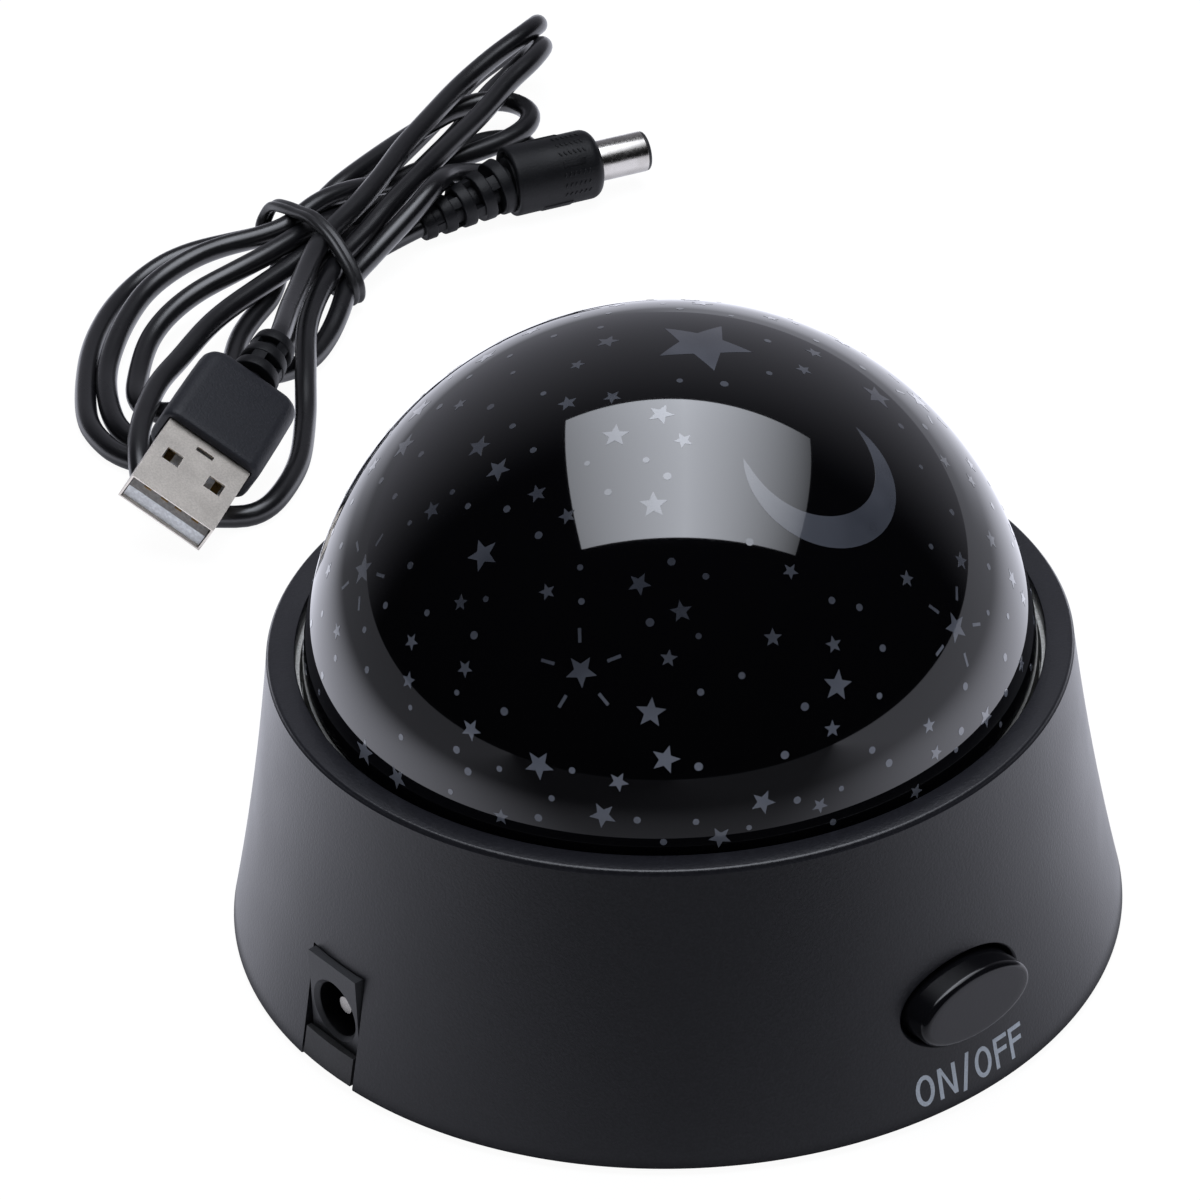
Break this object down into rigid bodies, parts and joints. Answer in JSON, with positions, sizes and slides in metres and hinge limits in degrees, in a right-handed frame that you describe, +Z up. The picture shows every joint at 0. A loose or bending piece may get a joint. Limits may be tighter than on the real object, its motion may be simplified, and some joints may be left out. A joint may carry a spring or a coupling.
{
  "type": "star night light projector",
  "caption": "Round night light projector with a glossy star-printed dome that turns, an oval push button, a barrel power socket and a USB lead folded into a tied hank.",
  "frame": {"origin": "centre of the housing's underside on the table, on the dome's axis", "axes": "+Z up along the dome's axis, -Y towards the button, -X towards the power socket"},
  "size_m": [0.1635, 0.2166, 0.0714],
  "materials": {
    "housing": "fine moulded texture, satin",
    "black_plastic": "plain moulded",
    "rubber": "matte",
    "steel": "plated",
    "nickel": "nickel plated",
    "dome": "high gloss, printed with stars",
    "carrier": "plain moulded",
    "white_plastic": "plain moulded",
    "tongue": "plain moulded",
    "white_board": "white solder mask on aluminium",
    "green_board": "green solder mask",
    "lens": "clear",
    "chip": "moulded epoxy",
    "capacitor": "sleeved",
    "red_wire": "insulated wire",
    "blue_wire": "insulated wire",
    "white_wire": "insulated wire",
    "button": "satin with a glossy edge",
    "insulator": "plain moulded",
    "grip": "fine moulded texture",
    "contacts": "gold plated",
    "cord": "smooth satin sheath",
    "tie": "smooth sheath"
  },
  "bodies": {
    "housing": {"base_shell": "housing", "base_plate": "black_plastic", "plate_screws": "steel", "rubber_feet": "rubber", "deck": "black_plastic", "deck_screws": "steel", "drive_motor": "steel", "motor_screws": "steel", "led_post": "black_plastic", "led_board": "white_board", "led_emitter": "white_plastic", "led_lens": "lens", "main_board": "green_board", "board_screws": "steel", "controller_chip": "chip", "filter_capacitor": "capacitor", "wire_headers": "white_plastic", "socket_body": "black_plastic", "socket_pin": "nickel", "socket_terminals": "nickel", "switch_board": "green_board", "switch_body": "chip", "led_wires": "red_wire", "motor_wires": "blue_wire", "switch_wires": "white_wire", "plug_barrel": "nickel", "plug_insulator": "insulator", "plug_sleeve": "nickel", "plug_grip": "grip", "plug_relief": "grip", "usb_shell": "nickel", "usb_tongue": "tongue", "usb_contacts": "contacts", "usb_grip": "grip", "usb_relief": "grip", "lead_hank": "cord", "lead_loop": "cord", "lead_plug_tail": "cord", "lead_usb_tail": "cord", "lead_tie": "tie"},
    "dome": {"dome_cover": "dome", "dome_carrier": "carrier", "carrier_screws": "steel"},
    "pinion": {"drive_pinion": "white_plastic", "motor_shaft": "nickel"},
    "button": {"button_cap": "button", "button_plunger": "white_plastic", "button_spring": "steel"}
  },
  "joints": [
    {"name": "dome_turn", "type": "hinge", "parent": "housing", "child": "dome", "pos_m": [0, 0, 0.031], "axis": [0, 0, 1], "continuous": true},
    {"name": "pinion_spin", "type": "hinge", "parent": "housing", "child": "pinion", "pos_m": [0.01591, 0.01591, 0.027], "axis": [0, 0, 1], "continuous": true},
    {"name": "button_press", "type": "slide", "parent": "housing", "child": "button", "axis": [0, 1, 0], "range_m": [0, 0.0015], "stiffness_N_per_m": 400, "springref_m": -0.001, "deforming": ["button_spring"]}
  ],
  "couplings": [
    {"joint": "pinion_spin", "follows": "dome_turn", "ratio": 4}
  ]
}
